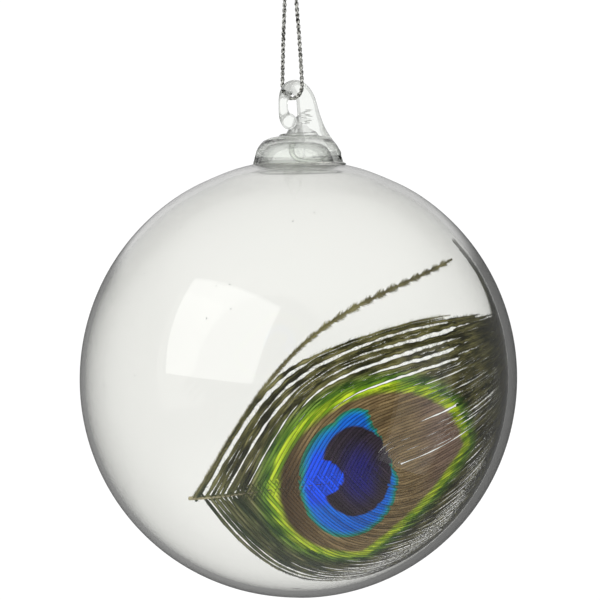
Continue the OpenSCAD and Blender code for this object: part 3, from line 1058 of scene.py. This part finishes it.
def barb_finish(name, pieces, gloss, pale=0.0):
    plume = finish_of(name, *pieces)
    spot = plume.node("ShaderNodeAttribute", {"attribute_name": "chart"})
    parts = plume.node("ShaderNodeSeparateColor", {}, {"Color": spot.out("Color")})
    barb = parts.out("Blue")
    edge = spot.out("Alpha")
    along_barb = parts.out("Red") * 0.25
    strand = plume.node("ShaderNodeCombineXYZ", {}, {0: along_barb, 1: barb * 61.0, 2: edge * 0.7})
    streak = plume.noise(1.0, strand, 3.0)
    grain = plume.noise(2400.0, plume.place(), 1.0)
    tooth = (barb - 0.5) * 0.5 + (streak - 0.5) * 0.9
    s = parts.out("Red") + tooth
    t = parts.out("Green") + (streak - 0.5) * 0.4

    oval = ellipse(s, t, 5.0, -3.0, 18.9, 17.1)
    brown = oval.most(s * 0.58 - t * 0.815 - 16.6)
    pointed = ellipse(s, t, 1.8, 7.6, 4.7, 4.7)
    blue = ellipse(s, t, -0.6, -1.9, 9.2, 12.6).least(pointed).most(s * 0.967 + t * 0.255 - 7.35)
    notch = ellipse(s, t, -6.6, 0.2, 4.9, 4.0)
    kidney = ellipse(s, t, 0.8, -0.1, 6.7, 9.4).most(-1 * notch)
    heart = ellipse(s, t, 1.3, -0.4, 2.6, 4.4)

    light_barb = streak.rise(0.36, 0.64)
    olive = plume.mix(light_barb, tone(34, 34, 17), tone(104, 100, 60))
    olive = plume.mix(t.rise(4, -8) * s.rise(4, -10) * 0.3, olive, tone(54, 84, 50))
    olive = plume.mix(s.rise(30, 42) * 0.5, olive, tone(26, 28, 12))
    green = plume.mix(light_barb, tone(38, 78, 20), tone(104, 146, 36))
    lime = plume.mix(light_barb, tone(98, 138, 8), tone(186, 204, 44))
    bronze = plume.mix(light_barb, tone(108, 88, 60), tone(138, 116, 82))
    bronze = plume.mix(s.rise(-4, -13), bronze, tone(72, 54, 34))
    bronze = plume.mix(s.rise(11, 20) * 0.6, bronze, tone(130, 106, 104))
    azure = plume.mix(notch.rise(3.6, 0.4), tone(14, 100, 212), tone(14, 78, 240))
    azure = plume.mix(blue.rise(-1.4, -0.3), azure, tone(18, 132, 176))
    teal = tone(36, 126, 104)
    violet = plume.mix(heart.rise(2.4, -1.6), tone(52, 42, 56), tone(32, 28, 112))

    # Where each colour lies over the ones before it, from 0 to 1, and the colour.
    # Painted highlight: a pale cream line along the ridge of some loose barbs, partly the barb's own paler
    # shaft and partly light caught on the ridge.
    quill_highlight = edge.rise(0.3, 0.0) * brown.rise(1.5, 4.0) * streak.rise(0.5, 0.7) * s.rise(38, 28)
    layers = [
        (brown.rise(5.2, 1.9), green),
        (brown.rise(2.5, 1.4), lime),
        (brown.rise(0.7, -0.6), bronze),
        (blue.rise(0.24, 0.04), teal),
        (blue.rise(-0.1, -0.6), azure),
        (kidney.rise(0.2, -0.2), violet),
        (quill_highlight * 0.6, tone(176, 166, 130)),
        (barb.rise(0.4, 1.0) * 0.35, tone(20, 18, 12)),
        (pale, tone(140, 130, 94)),
        # Painted shade: the ribbons darken to near black at their edges, and the blades a little at their
        # tips, as the shade between barbs.
        (edge.rise(0.45, 1.0) * 0.8, tone(14, 14, 12))]
    colour = olive
    for share, laid_over in layers:
        colour = plume.mix(share, colour, laid_over)
    fine = plume.bump(grain, 0.05 * MM)
    plume.surface(plume.node("ShaderNodeBsdfPrincipled", {}, {
        "Base Color": colour, "Roughness": gloss + 0.2 * grain, "Specular IOR Level": 0.15, "Normal": fine}))


barb_finish("eye_colours", eye_pieces, 0.36)
barb_finish("barb_colours", loose_pieces[:-1], 0.46)
barb_finish("stray_colours", loose_pieces[-1:], 0.5, pale=0.3)

# %% [markdown]
# ## Horn
#
# The shaft is pale horn at its cut end and darkens to brown under the eye, with fine streaks. The
# change follows the shaft's own length from the cut, so it stays put when the feather slides round.

# %% Horn finish
horn = finish_of("shaft_horn", feather_shaft)
horn_place = horn.node("ShaderNodeTexCoord").out("Generated")
horn_axes = horn.node("ShaderNodeSeparateXYZ", {}, {0: horn_place})
streak = horn.noise(420.0, horn.place(), 2.0)
horn_colour = horn.mix(horn_axes.out("X").rise(0.02, 0.45), tone(150, 142, 112), tone(44, 36, 22))
horn_colour = horn.mix(streak.rise(0.45, 0.65) * 0.4, horn_colour, tone(120, 104, 74))
horn.surface(horn.node("ShaderNodeBsdfPrincipled", {}, {
    "Base Color": horn_colour, "Roughness": 0.4 + 0.15 * streak, "Normal": horn.bump(streak, 0.04 * MM)}))

# %% [markdown]
# ## The studio
#
# Clear glass shows nothing but its surroundings, so they are what is lit here. The ground behind is
# pure white. Glass that turns light aside looks into a narrow grey flag at each side, which draws its
# edges. What the glass mirrors from in front is dark, and darkest at the right, apart from one large
# softbox at the left and a low fill at the right. The top of the rim and the far wall mirror some of
# the bright ground behind, which keeps them pale. Two more lamps light the feather alone. They are
# hidden from mirror rays, so that they leave no second reflection.

# %% World
GROUND = 1.02
GROUND_SEEN = 1.05
FLAG_TAKES = 0.4
FRONT_MIRRORED = 0.16
TOP_MIRRORED = 0.42
world = bpy.data.worlds.new("studio")
bpy.context.scene.world = world
sky = Finish(world)
way = sky.node("ShaderNodeSeparateXYZ", {}, {0: sky.node("ShaderNodeTexCoord").out("Generated")})
ray = sky.node("ShaderNodeLightPath")
way_x = way.out("X")
way_y = way.out("Y")
way_z = way.out("Z")
sideways = way_x.size()
flags = sideways.rise(0.8, 0.88) * sideways.rise(0.998, 0.993)
through = GROUND - FLAG_TAKES * flags
steep = way_z.size().rise(0.3, 0.8)
over_top = (way_z - 0.5 * sideways).rise(0.0, 0.12) * way_y.rise(0.55, 0.9)
inside = ray.out("Transmission Depth").rise(1.4, 1.6)
mirrored = FRONT_MIRRORED - 0.14 * way_x.rise(-0.3, 0.5) + TOP_MIRRORED * over_top
mirrored = mirrored + inside * (0.2 * way_y.rise(-0.2, 0.5)).most(0.35 * steep)
turned_back = ray.out("Glossy Depth").rise(0.5, 0.6)
seen = through + (mirrored - through) * turned_back
straight = ray.out("Is Camera Ray")
strength = seen + (GROUND_SEEN - seen) * straight
glow = sky.node("ShaderNodeBackground", {}, {"Color": (1, 1, 1, 1), "Strength": strength})
sky.node("ShaderNodeOutputWorld", {}, {"Surface": glow})

# %% Lamps


def panel(name, away, azimuth, height, width, tall, radiance, mirrored=True, roll=0.0):
    """A rectangular lamp facing the ball; azimuth is counted from the front towards the right."""
    turned = math.radians(azimuth)
    raised = math.radians(height)
    toward = Vector((math.sin(turned) * math.cos(raised), -math.cos(turned) * math.cos(raised),
                     math.sin(raised)))
    facing = toward.to_track_quat("Z", "Y") @ Quaternion((0, 0, 1), math.radians(roll))
    data = bpy.data.lights.new(name, "AREA")
    data.shape = "RECTANGLE"
    data.size = width
    data.size_y = tall
    data.energy = radiance * math.pi * width * tall
    lamp = bpy.data.objects.new(name, data)
    lamp.location = Vector(ball_mid) + toward * away
    lamp.rotation_euler = facing.to_euler()
    lamp.visible_camera = False
    if not mirrored:
        lamp.visible_glossy = False
        lamp.visible_transmission = False
    bpy.context.scene.collection.objects.link(lamp)


panel("softbox", 1.0, -45, 24, 1.0, 0.84, 1.2, roll=-7)
panel("low_fill", 1.0, 70, -14, 0.6, 1.0, 0.35)
panel("feather_key", 0.8, -18, 30, 0.5, 0.5, 4.0, mirrored=False)
panel("feather_fill", 0.8, 40, 10, 0.5, 0.5, 1.0, mirrored=False)

# %% [markdown]
# ## The floor
#
# A plain pale disc lies well below the ornament. It is out of the front view, sends soft light up, and
# gives the raised views a ground.

# %% Floor
FLOOR_DROP = 0.16
floor_section = [(0.0, 0.0), (700.0, 0.0), (1500.0, 0.0)]
floor_mid = np.array([0.0, 0.0, ball_mid[2] - FLOOR_DROP])
floor_points, floor_faces = revolve(floor_section, floor_mid, 96)
floor = make_mesh("pale_floor", floor_points, floor_faces)
floor_look = finish_of("pale_floor_paint", floor)
floor_grain = floor_look.noise(30.0, floor_look.place())
floor_look.surface(floor_look.node("ShaderNodeBsdfPrincipled", {}, {
    "Base Color": floor_look.mix(floor_grain, (0.86, 0.86, 0.85, 1), (0.9, 0.9, 0.89, 1)),
    "Roughness": 0.7 + 0.1 * floor_grain}))
floor.visible_glossy = False
floor.visible_transmission = False
floor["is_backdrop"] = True

# %% [markdown]
# ## Closing
#
# Both boxes are printed, the model's and that of the finished look.

# %% Print the sizes
visual_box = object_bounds()
boxes = {"cad": [list(corner) for corner in cad_box], "visual": [list(corner) for corner in visual_box]}
for label, (low, high) in boxes.items():
    print(label, "low mm", [round(x / MM, 1) for x in low], "high mm", [round(x / MM, 1) for x in high])
